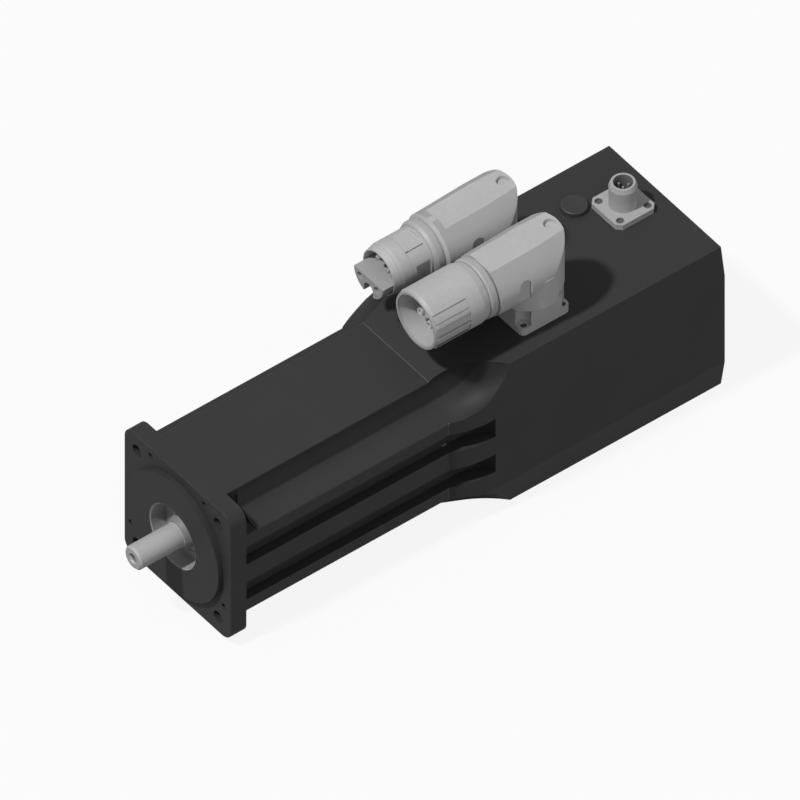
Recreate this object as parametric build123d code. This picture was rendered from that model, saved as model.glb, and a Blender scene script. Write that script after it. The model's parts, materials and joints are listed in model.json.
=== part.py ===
from build123d import *
import os
from math import cos, radians, sin, sqrt

os.makedirs("parts", exist_ok=True)

# Integrated servo motor: a brushless motor with its drive electronics in one housing.
# All lengths are in millimetres. The origin is the centre of the flange's mounting face,
# on the shaft's axis. The shaft points along -Y, the drive box is at +Y, and +Z is up.

# Fits, as radial or face gaps
fit_gap = 0.02
run_gap = 0.05
loose_gap = 0.3

# Mounting flange
flange_size = 70.0
flange_thick = 8.0
flange_corner = 6.0
flange_edge = 0.3
bolt_circle = 75.0
bolt_hole = 5.8
pilot_dia = 60.0
pilot_height = 2.5
recess_dia = 29.4
recess_depth = 7.1
recess_edge = 0.4
spigot_length = 4.0
spigot_wall = 4.0

# Output shaft
shaft_dia = 11.0
shaft_reach = 23.0
shaft_chamfer = 0.8
centre_hole_dia = 3.3
centre_hole_depth = 11.0
centre_cone_dia = 5.0
shoulder_inset = 1.8
shoulder_dia = 12.6
shoulder_taper = 2.6
core_seat_dia = 18.0
stub_dia = 8.0
collar_width = 3.4
collar_step = 2.0

# Ball bearings: bore, outside diameter, width and ball diameter
front_bore = 15.0
front_od = 32.0
front_width = 9.0
front_ball = 4.76
rear_bore = 12.0
rear_od = 28.0
rear_width = 8.0
rear_ball = 4.76
ring_wall = 2.5
ball_count = 8
cage_wall = 0.8
shield_thick = 0.4
circlip_thick = 1.2
circlip_wall = 2.4

# Motor body, an extrusion with four cut-away corners and side grooves
body_length = 103.8
plate_width = 43.4
body_edge = 1.0
stator_dia = 56.0
groove_low = 5.0
groove_high = 15.0
groove_depth = 4.5
head_pocket_length = 5.6
head_pocket_reach = 0.1
head_pocket_round = 5.0

# Tie rods that clamp flange, motor body and drive housing
tie_rod_dia = 3.0
tie_rod_clear = 3.4
tie_rod_radius = 35.2
tie_rod_angles = (60.0, 120.0, 210.0, 330.0)
tie_rod_inset = 2.5

# Electric parts of the motor
slot_count = 12
pole_count = 8
stack_length = 60.0
stack_start = 26.0
stator_bore = 32.0
yoke_thick = 4.5
tooth_width = 5.0
shoe_width = 6.6
shoe_thick = 1.6
coil_thick = 1.6
coil_overhang = 3.0
coil_clear = 0.1
magnet_thick = 2.4
magnet_gap_angle = 5.0
sleeve_thick = 0.4
air_gap = 0.6
wiring_ring_thick = 2.4
wiring_ring_width = 8.0

# Drive housing: flared neck and box
drive_length = 138.2
neck_length = 33.2
notch_run = 37.0
flare_length = 18.5
box_height = 78.0
box_width = 78.4
facet_inset = 2.5
facet_height = 14.4
corner_path_radius = 17.0
corner_path_turn = 44.0
groove_run = 9.2
groove_end_radius = 12.0
box_wall_side = 5.2
box_wall_top = 4.4
cavity_round = 5.0
neck_bore = 56.0
front_wall = 6.2
register_dia = 48.0
shield_flange_thick = 2.0
shield_flange_width = 3.0

# Rear cover
cover_thick = 4.0
cover_ledge = 2.0
gasket_thick = 0.8
cover_screw_inset = 4.0
cover_boss_dia = 9.0
cover_boss_length = 22.0

# Screws, nominal M3 unless said otherwise
screw_dia = 2.9
screw_head_dia = 5.5
screw_head_height = 3.0
screw_clear_dia = 3.4
screw_hex = 2.5
screw_hex_depth = 1.3
countersunk_dia = 6.0

# Bearing plate at the back of the motor
end_plate_thick = 7.8
end_boss_length = 7.0
end_boss_wall = 4.0
end_hole_dia = 14.0
lead_dia = 2.4
lead_spacing = 5.0
lead_drop = 20.4
lead_slot_margin = 1.4

# Shaft position sensor
wheel_dia = 28.0
wheel_thick = 1.5
wheel_hub_dia = 14.0
wheel_hub_length = 6.0
wheel_offset = 6.0
reader_dia = 49.0
reader_thick = 1.6
reader_gap = 4.0
reader_post_dia = 5.0
reader_post_radius = 20.5
reader_chip = 8.0

# Electronics inside the box
board_thick = 1.6
board_clearance = 3.0
power_board_length = 70.0
power_board_inset = 7.0
power_board_lift = 7.6
post_dia = 6.4
post_margin = 4.0
module_width = 42.0
module_length = 40.0
pad_thick = 0.5
capacitor_dia = 18.0
capacitor_height = 28.0
capacitor_pitch = 20.0
control_board_length = 88.0
control_board_rise = 35.4
spacer_dia = 5.5
header_width = 12.0
header_depth = 10.0
header_height = 6.0
terminal_width = 18.0
terminal_depth = 8.0
terminal_height = 10.0
signal_lead_dia = 1.8
signal_lead_ring = 6.0

# Swivelling connectors on top of the box
connector_x = 15.5
connector_y = 167.4
connector_rise = 27.2
base_size = 25.0
base_height = 12.0
base_plate = 3.5
base_hole_offset = 9.95
base_pocket_dia = 6.6
base_neck_dia = 17.6
swivel_bore_dia = 19.2
swivel_wall = 1.6
swivel_depth = 9.7
swivel_gap = 0.3
clip_height = 2.4
clip_thick = 1.0
clip_reach = 0.5
elbow_dia = 30.0
elbow_front_dia = 28.0
elbow_facet_front = 12.3
elbow_facet_rear = 13.6
elbow_draft = 0.2
elbow_bore = 20.8
elbow_duct = 15.0
stop_notch_height = 4.1
stop_notch_dia = 26.2
stop_notch_half_angle = 70.0
window_width = 6.0
window_height = 12.0
side_window_depth = 1.9
side_window_back = 11.8
rear_window_depth = 1.0
rear_window_height = 9.0
dimple_dia = 5.5
dimple_depth = 1.8
dimple_back = 11.3

# Right connector: socket contacts behind a turning coupling nut
right_elbow_reach = 24.4
right_collar_dia = 27.2
right_collar_width = 4.0
right_collar_gap = 0.4
right_barrel_dia = 23.3
right_barrel_reach = 43.4
nut_dia = 27.4
nut_bore = 23.8
nut_length = 28.3
nut_gap = 0.3
nut_front_chamfer = 0.8
nut_rear_chamfer = 1.6
nut_panel_length = 18.0
nut_panel_depth = 0.5
nut_panel_angle = 18.4
nut_panel_pitch = 26.8
nut_panel_count = 10
nut_panel_start = 44.7
snap_ring_thick = 1.0
snap_ring_reach = 0.6
sleeve_dia = 3.6
sleeve_hole = 1.6
sleeve_reach = 5.5
sleeve_ring = 11.2
sleeve_ring_count = 5
sleeve_first_angle = 207.0
right_insert_length = 14.0

# Left connector: pin contacts in a fixed barrel with a stepped insert
left_elbow_reach = 23.4
left_collar_dia = 28.0
left_collar_width = 4.0
left_ring_dia = 25.8
left_ring_width = 5.0
left_barrel_dia = 22.8
left_barrel_reach = 52.1
left_nose_dia = 20.6
left_nose_length = 4.6
left_bore = 19.6
left_window_front = 41.0
left_window_length = 7.2
left_window_width = 11.8
left_window_depth = 1.0
left_slit = 0.4
left_insert_dia = 18.9
left_insert_front = 57.4
left_insert_step = 43.4
left_insert_back = 29.4
insert_hole_dia = 3.6
insert_hole_x = 5.5
insert_hole_drop = 2.9
insert_slot_width = 6.0
insert_slot_drop = 6.3
pin_dia = 2.0
pin_ring = 11.6
pin_reach = 4.2
pin_angles = (30.0, 90.0, 150.0)

# Small sensor connector on top of the box
sensor_x = -5.2
sensor_y = 232.5
sensor_flange = 20.0
sensor_flange_thick = 2.7
sensor_corner = 2.2
sensor_hole_offset = 7.05
sensor_dia = 11.8
sensor_height = 15.0
sensor_chamfer_height = 2.0
sensor_lip_dia = 10.2
sensor_bore = 8.1
sensor_bore_depth = 10.0
sensor_spigot_dia = 11.0
sensor_spigot_length = 6.4
sensor_pin_dia = 1.0
sensor_pin_ring = 5.7
sensor_pin_tip = 3.0

# Blanking plug on top of the box
plug_x = -17.4
plug_y = 217.0
plug_head_dia = 11.6
plug_head_height = 2.3
plug_shank_dia = 8.0
plug_shank_length = 6.0
plug_slot_width = 1.4
plug_slot_depth = 1.0

# Places worked out from the sizes above
half_flange = flange_size / 2
body_start = flange_thick
body_end = body_start + body_length
plate_half = plate_width / 2
corner_radius = half_flange - plate_half
groove_floor = half_flange - groove_depth
bearing_start = recess_depth - pilot_height
bearing_end = bearing_start + front_width
drive_end = body_end + drive_length
cavity_start = body_end + neck_length
neck_cavity_start = body_end + front_wall
cavity_end = drive_end - cover_thick - gasket_thick
half_box = box_height / 2
half_side = box_width / 2
cavity_half_x = half_side - box_wall_side
cavity_half_z = half_box - box_wall_top
box_top_width = box_width - 2 * facet_inset
board_width = 2 * (cavity_half_x - board_clearance)
cover_screw_x = cavity_half_x - cover_screw_inset
cover_screw_z = cavity_half_z - cover_screw_inset
stack_end = stack_start + stack_length
rear_bearing_start = body_end - end_plate_thick - end_boss_length + 1.0
rear_bearing_end = rear_bearing_start + rear_width
plate_back = body_end + shield_flange_thick
reader_start = plate_back + wheel_offset + wheel_thick + reader_gap
board_bottom = power_board_lift - cavity_half_z
board_top = board_bottom + board_thick
control_bottom = board_top + control_board_rise
control_top = control_bottom + board_thick
base_top = half_box + base_height
axis_height = half_box + connector_rise
elbow_bottom = base_top + swivel_gap
sensor_top = half_box + sensor_height


def rod_y(diameter, y_from, y_to, x=0.0, z=0.0):
    """Round bar along Y."""
    return Pos(x, (y_from + y_to) / 2, z) * Rot(90, 0, 0) * Cylinder(diameter / 2, y_to - y_from)


def rod_z(diameter, z_from, z_to, x=0.0, y=0.0):
    """Round bar along Z."""
    return Pos(x, y, (z_from + z_to) / 2) * Cylinder(diameter / 2, z_to - z_from)


def block(x_from, x_to, y_from, y_to, z_from, z_to):
    """Box between two corners."""
    size = (x_to - x_from, y_to - y_from, z_to - z_from)
    middle = ((x_from + x_to) / 2, (y_from + y_to) / 2, (z_from + z_to) / 2)
    return Pos(*middle) * Box(*size)


def prism_y(sketch, y_from, y_to):
    """Sketch drawn in X and Z, extruded along Y."""
    return extrude(Plane((0, y_to, 0), (1, 0, 0), (0, -1, 0)) * sketch, y_to - y_from)


def turned_y(points, x=0.0, z=0.0):
    """Solid of revolution about a line along Y, from (radius, y) points."""
    face = make_face(Polyline(*points, close=True))
    return Pos(x, 0, z) * revolve(face, Axis.Y)


def on_circle(radius, degrees):
    """X and Z of a point on a circle about the shaft's axis."""
    return radius * cos(radians(degrees)), radius * sin(radians(degrees))


def four_corners(offset_x, offset_z):
    """The four mirrored places of a point."""
    return [(sx * offset_x, sz * offset_z) for sx in (-1, 1) for sz in (-1, 1)]


def group(solids):
    """Several separate solids kept as one sub-part."""
    return Compound(children=list(solids))


def write(name, shape):
    """Write one sub-part."""
    export_step(shape, f"parts/{name}.step")


def socket_screw(shank_length):
    """Socket head screw along +Z: the head's seat is at 0 and the shank points up."""
    screw = rod_z(screw_head_dia, -screw_head_height, 0) + rod_z(screw_dia, 0, shank_length)
    hexagon = extrude(RegularPolygon(screw_hex / 2, 6, major_radius=False), screw_hex_depth)
    return screw - Pos(0, 0, -screw_head_height) * hexagon


def corner_cutter():
    """Round cutter of one corner: straight along the body, then turning outwards in the neck."""
    reach = half_flange * sqrt(2)
    straight = Line((reach, body_start - 1), (reach, body_end))
    bend = JernArc(straight @ 1, straight % 1, corner_path_radius, -corner_path_turn)
    run_out = Line(bend @ 1, (bend @ 1) + (bend % 1) * notch_run)
    path = Curve() + [straight, bend, run_out]
    section = Plane(straight @ 0, z_dir=straight % 0) * Circle(corner_radius)
    return sweep(section, path=path)


def make_front_flange():
    """Square flange with the pilot ring in front and the bearing seat behind."""
    plate = prism_y(RectangleRounded(flange_size, flange_size, flange_corner), 0, flange_thick)
    front_edges = plate.faces().sort_by(Axis.Y)[0].edges()
    plate = chamfer(front_edges, flange_edge)
    flange = plate + rod_y(pilot_dia, -pilot_height, flange_thick / 2)
    flange += rod_y(stator_dia - 2 * fit_gap, flange_thick / 2, flange_thick + spigot_length)
    boss_end = bearing_end + 2 * circlip_thick
    flange += rod_y(front_od + 2 * spigot_wall, flange_thick / 2, boss_end)
    flange -= rod_y(recess_dia, -pilot_height - 1, bearing_start + 1)
    flange -= rod_y(front_od + 2 * fit_gap, bearing_start, boss_end + 1)
    groove = bearing_end + fit_gap
    clip_dia = front_od + circlip_wall
    flange -= rod_y(clip_dia, groove, groove + circlip_thick + 2 * fit_gap)
    mouth = flange.edges().filter_by(GeomType.CIRCLE).sort_by(Axis.Y)
    mouth = [edge for edge in mouth if abs(edge.radius - recess_dia / 2) < 0.01][0]
    flange = chamfer(mouth, recess_edge)
    hole_offset = bolt_circle / 2 / sqrt(2)
    for x, z in four_corners(hole_offset, hole_offset):
        flange -= rod_y(bolt_hole, -1, flange_thick + 1, x, z)
    for degrees in tie_rod_angles:
        x, z = on_circle(tie_rod_radius, degrees)
        flange -= rod_y(tie_rod_dia + 2 * fit_gap, -1, flange_thick + 1, x, z)
    return flange


def make_motor_body(cutters):
    """Extruded motor body with cut-away corners, side grooves and a round bore."""
    profile = Rectangle(flange_size, flange_size)
    for x, z in four_corners(half_flange, half_flange):
        profile -= Pos(x, z) * Circle(corner_radius)
    profile = fillet(profile.vertices(), body_edge)
    groove_middle = (groove_low + groove_high) / 2
    for x, z in four_corners(half_flange, groove_middle):
        profile -= Pos(x, z) * Rectangle(2 * groove_depth, groove_high - groove_low)
    profile -= Circle(stator_dia / 2)
    for degrees in tie_rod_angles:
        profile -= Pos(*on_circle(tie_rod_radius, degrees)) * Circle(tie_rod_clear / 2)
    body = prism_y(profile, body_start, body_end)
    pocket_size = 2 * (corner_radius + head_pocket_reach)
    pocket = RectangleRounded(pocket_size, pocket_size, head_pocket_round)
    for x, z in four_corners(half_flange, half_flange):
        body -= prism_y(Pos(x, z) * pocket, body_start, body_start + head_pocket_length)
    return body


def flared_prism(half_start, half_end):
    """Outline of the drive housing seen from above, from the seam to the back."""
    flare_end = body_end + flare_length
    right = TangentArc((half_end, flare_end), (half_start, body_end), tangent=(0, -1))
    left = TangentArc((-half_end, flare_end), (-half_start, body_end), tangent=(0, -1))
    outline = [right, left]
    outline.append(Line((-half_start, body_end), (half_start, body_end)))
    outline.append(Line((-half_end, flare_end), (-half_end, drive_end)))
    outline.append(Line((half_end, flare_end), (half_end, drive_end)))
    outline.append(Line((-half_end, drive_end), (half_end, drive_end)))
    return extrude(make_face(Curve() + outline), box_width, both=True)


def box_profile():
    """Section of the box: flat top and bottom, sides with slanted upper and lower facets."""
    edge = box_top_width / 2
    shoulder = half_box - facet_height
    right = [(edge, half_box), (half_side, shoulder), (half_side, -shoulder), (edge, -half_box)]
    left = [(-x, z) for x, z in reversed(right)]
    return make_face(Polyline(*right, *left, close=True))


def make_drive_housing(cutter):
    """Flared neck and hollow box in one casting."""
    housing = prism_y(box_profile(), body_end, drive_end)
    housing = housing & flared_prism(half_flange, half_side)
    housing = housing & Rot(0, 90, 0) * flared_prism(half_flange, half_box)
    for degrees in (-45, -135, 45, 135):
        housing -= Rot(0, degrees, 0) * cutter
    ramp_start = body_end + groove_run
    ramp_x = groove_floor + groove_end_radius
    groove = block(groove_floor, ramp_x, body_end - 1, ramp_start, groove_low, groove_high)
    groove += rod_z(2 * groove_end_radius, groove_low, groove_high, ramp_x, ramp_start)
    for side in (0, 180):
        housing -= Rot(0, side, 0) * groove
        housing -= Rot(0, side, 0) * mirror(groove, Plane.XY)
    flange_dia = stator_dia + 2 * shield_flange_width
    housing -= rod_y(flange_dia + 2 * fit_gap, body_end - 1, plate_back)
    housing -= rod_y(register_dia, body_end - 1, neck_cavity_start + 1)
    housing -= rod_y(neck_bore, neck_cavity_start, cavity_start + 1)
    cavity = RectangleRounded(2 * cavity_half_x, 2 * cavity_half_z, cavity_round)
    housing -= prism_y(cavity, cavity_start, cavity_end + 1)
    rebate_x = 2 * (cavity_half_x + cover_ledge)
    rebate_z = 2 * (cavity_half_z + cover_ledge)
    rebate = RectangleRounded(rebate_x, rebate_z, cavity_round + cover_ledge)
    housing -= prism_y(rebate, cavity_end, drive_end + 1)
    for x, z in four_corners(cover_screw_x, cover_screw_z):
        housing += rod_y(cover_boss_dia, cavity_end - cover_boss_length, cavity_end, x, z)
        housing -= rod_y(screw_dia + 2 * fit_gap, cavity_end - cover_boss_length / 2, drive_end, x, z)
    for x, y in power_board_posts():
        housing += rod_z(post_dia, -cavity_half_z - 1, board_bottom, x, y)
        housing -= rod_z(screw_dia + 2 * fit_gap, board_bottom - power_board_lift, board_bottom + 1, x, y)
    for degrees in tie_rod_angles:
        x, z = on_circle(tie_rod_radius, degrees)
        housing -= rod_y(tie_rod_clear, body_end - 1, cavity_start + 1, x, z)
    inside = cavity_half_z - 1
    outside = half_box + 1
    for side in (-1, 1):
        x = side * connector_x
        housing -= rod_z(base_neck_dia + 2 * fit_gap, inside, outside, x, connector_y)
        for dx, dy in four_corners(base_hole_offset, base_hole_offset):
            housing -= rod_z(screw_clear_dia, inside, outside, x + dx, connector_y + dy)
    housing -= rod_z(sensor_spigot_dia + 2 * fit_gap, inside, outside, sensor_x, sensor_y)
    for dx, dy in four_corners(sensor_hole_offset, sensor_hole_offset):
        housing -= rod_z(screw_clear_dia, inside, outside, sensor_x + dx, sensor_y + dy)
    housing -= rod_z(plug_shank_dia + 2 * fit_gap, inside, outside, plug_x, plug_y)
    return housing


def power_board_posts():
    """Places of the four posts under the power board."""
    x = board_width / 2 - post_margin
    near = cavity_start + power_board_inset + post_margin
    far = near + power_board_length - 2 * post_margin
    return [(-x, near), (x, near), (-x, far), (x, far)]


def make_rear_cover():
    """Flat cover let into the back of the box, with four countersunk holes."""
    width = 2 * (cavity_half_x + cover_ledge) - 2 * run_gap
    height = 2 * (cavity_half_z + cover_ledge) - 2 * run_gap
    start = drive_end - cover_thick
    cover = prism_y(RectangleRounded(width, height, cavity_round + cover_ledge), start, drive_end)
    for x, z in four_corners(cover_screw_x, cover_screw_z):
        cover -= countersunk_hole(x, z)
    return cover


def countersunk_hole(x, z):
    """Clearance hole with a countersink in the back of the cover."""
    sink = (countersunk_dia - screw_clear_dia) / 2
    points = [(0, cavity_end - 1), (screw_clear_dia / 2, cavity_end - 1)]
    points += [(screw_clear_dia / 2, drive_end - sink), (countersunk_dia / 2, drive_end)]
    points += [(countersunk_dia / 2, drive_end + 1), (0, drive_end + 1)]
    return turned_y(points, x, z)


def make_cover_gasket():
    """Flat ring between the cover and its ledge."""
    outer_x = 2 * (cavity_half_x + cover_ledge) - 2 * run_gap
    outer_z = 2 * (cavity_half_z + cover_ledge) - 2 * run_gap
    ring = RectangleRounded(outer_x, outer_z, cavity_round + cover_ledge)
    ring -= RectangleRounded(2 * cavity_half_x, 2 * cavity_half_z, cavity_round)
    return prism_y(ring, cavity_end, cavity_end + gasket_thick)


def make_cover_screw(x, z):
    """Countersunk screw of the rear cover."""
    gap = 2 * fit_gap
    sink = (countersunk_dia - screw_dia) / 2 - gap
    tip = cavity_end - cover_boss_length / 2 + 1
    points = [(0, tip), (screw_dia / 2, tip), (screw_dia / 2, drive_end - sink)]
    points += [(countersunk_dia / 2 - gap, drive_end), (0, drive_end)]
    hexagon = RegularPolygon(screw_hex / 2, 6, major_radius=False)
    socket = prism_y(Pos(x, z) * hexagon, drive_end - screw_hex_depth, drive_end + 1)
    return turned_y(points, x, z) - socket


def make_tie_rod(x, z):
    """Long screw from the drive housing through the motor body into the flange."""
    head_start = cavity_start
    rod = rod_y(tie_rod_dia, tie_rod_inset, head_start, x, z)
    rod += rod_y(screw_head_dia, head_start, head_start + screw_head_height, x, z)
    hexagon = RegularPolygon(screw_hex / 2, 6, major_radius=False)
    top = head_start + screw_head_height
    return rod - prism_y(Pos(x, z) * hexagon, top - screw_hex_depth, top + 1)


def make_end_plate():
    """Plate behind the motor that holds the rear bearing and passes the leads."""
    start = body_end - end_plate_thick
    plate = rod_y(stator_dia - 2 * fit_gap, start, body_end)
    plate += rod_y(stator_dia + 2 * shield_flange_width, body_end, plate_back)
    plate += rod_y(rear_od + 2 * end_boss_wall, start - end_boss_length, start)
    plate -= rod_y(rear_od + 2 * fit_gap, start - end_boss_length - 1, rear_bearing_end)
    plate -= rod_y(end_hole_dia, start, plate_back + 1)
    slot_half = lead_spacing + lead_dia / 2 + lead_slot_margin
    slot_top = lead_dia / 2 + lead_slot_margin - lead_drop
    slot_low = -lead_dia / 2 - lead_slot_margin - lead_drop
    plate -= block(-slot_half, slot_half, start - 1, plate_back + 1, slot_low, slot_top)
    return plate


def bearing_rings(bore, outside, width, ball, start):
    """Inner and outer ring of a deep-groove ball bearing."""
    middle = start + width / 2
    pitch = (bore + outside) / 4
    inner_dia = bore + 2 * ring_wall
    outer_dia = outside - 2 * ring_wall
    race = Pos(0, middle, 0) * Rot(90, 0, 0) * Torus(pitch, ball / 2 + run_gap)
    end = start + width
    inner = rod_y(inner_dia, start, end) - rod_y(bore + 2 * fit_gap, start - 1, end + 1)
    outer = rod_y(outside, start, end) - rod_y(outer_dia, start - 1, end + 1)
    return inner - race, outer - race


def bearing_balls(bore, outside, width, ball, start):
    """Balls of a bearing."""
    pitch = (bore + outside) / 4
    balls = []
    for index in range(ball_count):
        x, z = on_circle(pitch, 360 / ball_count * index)
        balls.append(Pos(x, start + width / 2, z) * Sphere(ball / 2))
    return group(balls)


def bearing_cage(bore, outside, width, ball, start):
    """Ring that keeps the balls apart, with a round pocket for each."""
    pitch = (bore + outside) / 4
    thick = (outside - bore) / 2 - 2 * ring_wall - 4 * loose_gap
    middle = start + width / 2
    half = ball / 2 + cage_wall
    cage = rod_y(2 * pitch + thick, middle - half, middle + half)
    cage -= rod_y(2 * pitch - thick, start, start + width)
    for index in range(ball_count):
        x, z = on_circle(pitch, 360 / ball_count * index)
        pocket = Rot(0, 90, 0) * Cylinder(ball / 2 + run_gap, 2 * thick)
        cage -= Pos(x, middle, z) * Rot(0, -360 / ball_count * index, 0) * pocket
    return cage


def bearing_shields(bore, outside, width, start):
    """Two thin covers fixed in the outer ring's faces."""
    outer_dia = outside - 2 * ring_wall - 2 * fit_gap
    inner_dia = bore + 2 * ring_wall + 2 * loose_gap
    shields = []
    for y in (start, start + width - shield_thick):
        ring = rod_y(outer_dia, y, y + shield_thick)
        shields.append(ring - rod_y(inner_dia, y - 1, y + shield_thick + 1))
    return shields


def make_circlip():
    """Ring that keeps the front bearing in its seat."""
    start = bearing_end + 2 * fit_gap
    clip_dia = front_od + circlip_wall - 4 * fit_gap
    clip = rod_y(clip_dia, start, start + circlip_thick)
    clip -= rod_y(front_od - 2 * ring_wall, start - 1, start + circlip_thick + 1)
    gap = block(-2, 2, start - 1, start + circlip_thick + 1, -front_od, 0)
    return clip - gap


def make_motor_shaft():
    """Stepped shaft with a centre hole in its front end."""
    r = shaft_dia / 2
    tip = -shaft_reach
    step = shoulder_inset - pilot_height
    collar = bearing_end + collar_width
    rear = rear_bearing_start - collar_step
    stub_end = plate_back + wheel_offset + wheel_thick
    points = [(0, tip), (r - shaft_chamfer, tip), (r, tip + shaft_chamfer), (r, step)]
    points += [(shoulder_dia / 2, step), (front_bore / 2, step + shoulder_taper)]
    points += [(front_bore / 2, bearing_end)]
    points += [(front_bore / 2 + collar_step, bearing_end), (front_bore / 2 + collar_step, collar)]
    points += [(core_seat_dia / 2, collar), (core_seat_dia / 2, stack_end)]
    points += [(rear_bore / 2 + collar_step, stack_end), (rear_bore / 2 + collar_step, rear_bearing_start)]
    points += [(rear_bore / 2, rear_bearing_start), (rear_bore / 2, rear_bearing_end + collar_step)]
    points += [(stub_dia / 2, rear_bearing_end + collar_step), (stub_dia / 2, stub_end), (0, stub_end)]
    shaft = turned_y(points)
    cone = (centre_cone_dia - centre_hole_dia) / 2
    hole = [(0, tip - 1), (centre_cone_dia / 2, tip - 1), (centre_cone_dia / 2, tip)]
    hole += [(centre_hole_dia / 2, tip + cone * 1.7), (centre_hole_dia / 2, tip + centre_hole_depth)]
    hole += [(0, tip + centre_hole_depth)]
    return shaft - turned_y(hole)


def make_stator_core():
    """Laminated ring with inward teeth."""
    yoke_inner = stator_dia / 2 - yoke_thick
    bore = stator_bore / 2
    section = Circle(stator_dia / 2 - fit_gap) - Circle(yoke_inner)
    tooth_length = yoke_inner + yoke_thick / 2 - bore
    tooth = Pos(bore + tooth_length / 2, 0) * Rectangle(tooth_length, tooth_width)
    tooth += Pos(bore + shoe_thick / 2, 0) * Rectangle(shoe_thick, shoe_width)
    for index in range(slot_count):
        section += Rot(0, 0, 360 / slot_count * index) * tooth
    section -= Circle(bore + 0.1)
    return prism_y(section, stack_start, stack_end)


def make_coils():
    """One copper coil around each tooth."""
    inner = stator_bore / 2 + shoe_thick + coil_clear
    outer = stator_dia / 2 - yoke_thick - 5 * coil_clear
    half = tooth_width / 2 + coil_clear
    start = stack_start - coil_clear
    end = stack_end + coil_clear
    coil = block(inner, outer, start - coil_overhang, end + coil_overhang, -half - coil_thick, half + coil_thick)
    coil -= block(inner - 1, outer + 1, start, end, -half, half)
    return group(Rot(0, 360 / slot_count * index, 0) * coil for index in range(slot_count))


def make_wiring_ring():
    """Ring behind the coils that joins their ends to the three leads."""
    start = stack_end + 2 * coil_clear + coil_overhang
    ring = rod_y(stator_dia - 2 * fit_gap, start, start + wiring_ring_thick)
    return ring - rod_y(stator_dia - 2 * wiring_ring_width - 4, start - 1, start + wiring_ring_thick + 1)


def make_phase_leads():
    """Three straight leads from the wiring ring to the power board's terminal."""
    start = stack_end + 2 * coil_clear + coil_overhang + wiring_ring_thick
    end = cavity_start + power_board_inset + 1
    leads = [rod_y(lead_dia, start, end, lead_spacing * step, -lead_drop) for step in (-1, 0, 1)]
    return group(leads)


def make_rotor_core():
    """Steel core pressed on the shaft."""
    outer = stator_bore / 2 - air_gap - sleeve_thick - magnet_thick - 2 * fit_gap
    core = rod_y(2 * outer, stack_start, stack_end)
    return core - rod_y(core_seat_dia + 2 * fit_gap, stack_start - 1, stack_end + 1)


def make_magnets():
    """Curved magnets glued round the core."""
    outer = stator_bore / 2 - air_gap - sleeve_thick - fit_gap
    inner = outer - magnet_thick
    span = 360 / pole_count - magnet_gap_angle
    ring = prism_y(Circle(outer) - Circle(inner), stack_start, stack_end)
    wedge_reach = 2 * stator_dia
    half = span / 2
    corner = on_circle(wedge_reach, half)
    wedge = make_face(Polyline((0, 0), (corner[0], -corner[1]), corner, close=True))
    magnet = ring & prism_y(wedge, stack_start - 1, stack_end + 1)
    return group(Rot(0, 360 / pole_count * index, 0) * magnet for index in range(pole_count))


def make_rotor_sleeve():
    """Thin band that holds the magnets on."""
    outer = stator_bore - 2 * air_gap
    sleeve = rod_y(outer, stack_start, stack_end)
    return sleeve - rod_y(outer - 2 * sleeve_thick, stack_start - 1, stack_end + 1)


def make_code_wheel():
    """Disc with a hub on the shaft's rear end, read by the position sensor."""
    start = plate_back + wheel_offset
    end = start + wheel_thick
    wheel = rod_y(wheel_dia, start, end) + rod_y(wheel_hub_dia, end - wheel_hub_length, end)
    return wheel - rod_y(stub_dia + 2 * fit_gap, start - wheel_hub_length, end + 1)


def reader_posts():
    """Places of the three posts of the position sensor's board."""
    return [on_circle(reader_post_radius, degrees) for degrees in (90, 200, 340)]


def make_reader_posts():
    """Posts between the end plate and the position sensor's board."""
    posts = [rod_y(reader_post_dia, plate_back, reader_start, x, z) for x, z in reader_posts()]
    holes = [rod_y(screw_dia, plate_back + 2, reader_start + 1, x, z) for x, z in reader_posts()]
    return group(post - hole for post, hole in zip(posts, holes))


def make_reader_screws():
    """Screws of the position sensor's board."""
    end = reader_start + reader_thick
    screws = []
    for x, z in reader_posts():
        screw = rod_y(screw_dia - 2 * fit_gap, reader_start - 4, end, x, z)
        screws.append(screw + rod_y(screw_head_dia - 1, end, end + screw_head_height / 2, x, z))
    return group(screws)


def make_reader_board():
    """Round board with the sensor chip, open at the bottom for the leads."""
    end = reader_start + reader_thick
    board = rod_y(reader_dia, reader_start, end)
    for x, z in reader_posts():
        board -= rod_y(screw_clear_dia, reader_start - 1, end + 1, x, z)
    slot_half = lead_spacing + lead_dia / 2 + lead_slot_margin
    slot_top = lead_dia / 2 + lead_slot_margin - lead_drop
    board -= block(-slot_half, slot_half, reader_start - 1, end + 1, -reader_dia, slot_top)
    chip = reader_chip / 2
    return board + block(-chip, chip, reader_start - 1.2, reader_start, -chip, chip)


def make_power_board():
    """Lower board with the power stage."""
    start = cavity_start + power_board_inset
    half = board_width / 2
    board = block(-half, half, start, start + power_board_length, board_bottom, board_top)
    for x, y in power_board_posts():
        board -= rod_z(screw_clear_dia, board_bottom - 1, board_top + 1, x, y)
    return board


def power_module_place():
    """Middle of the power module along Y."""
    return cavity_start + power_board_inset + power_board_length / 2


def make_power_module():
    """Power module under the board, pressed against the housing's floor."""
    y = power_module_place()
    half = module_width / 2
    floor = pad_thick - cavity_half_z
    return block(-half, half, y - module_length / 2, y + module_length / 2, floor, board_bottom)


def make_thermal_pad():
    """Soft pad between the power module and the housing's floor."""
    y = power_module_place()
    half = module_width / 2
    low = -cavity_half_z
    return block(-half, half, y - module_length / 2, y + module_length / 2, low, low + pad_thick)


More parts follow.
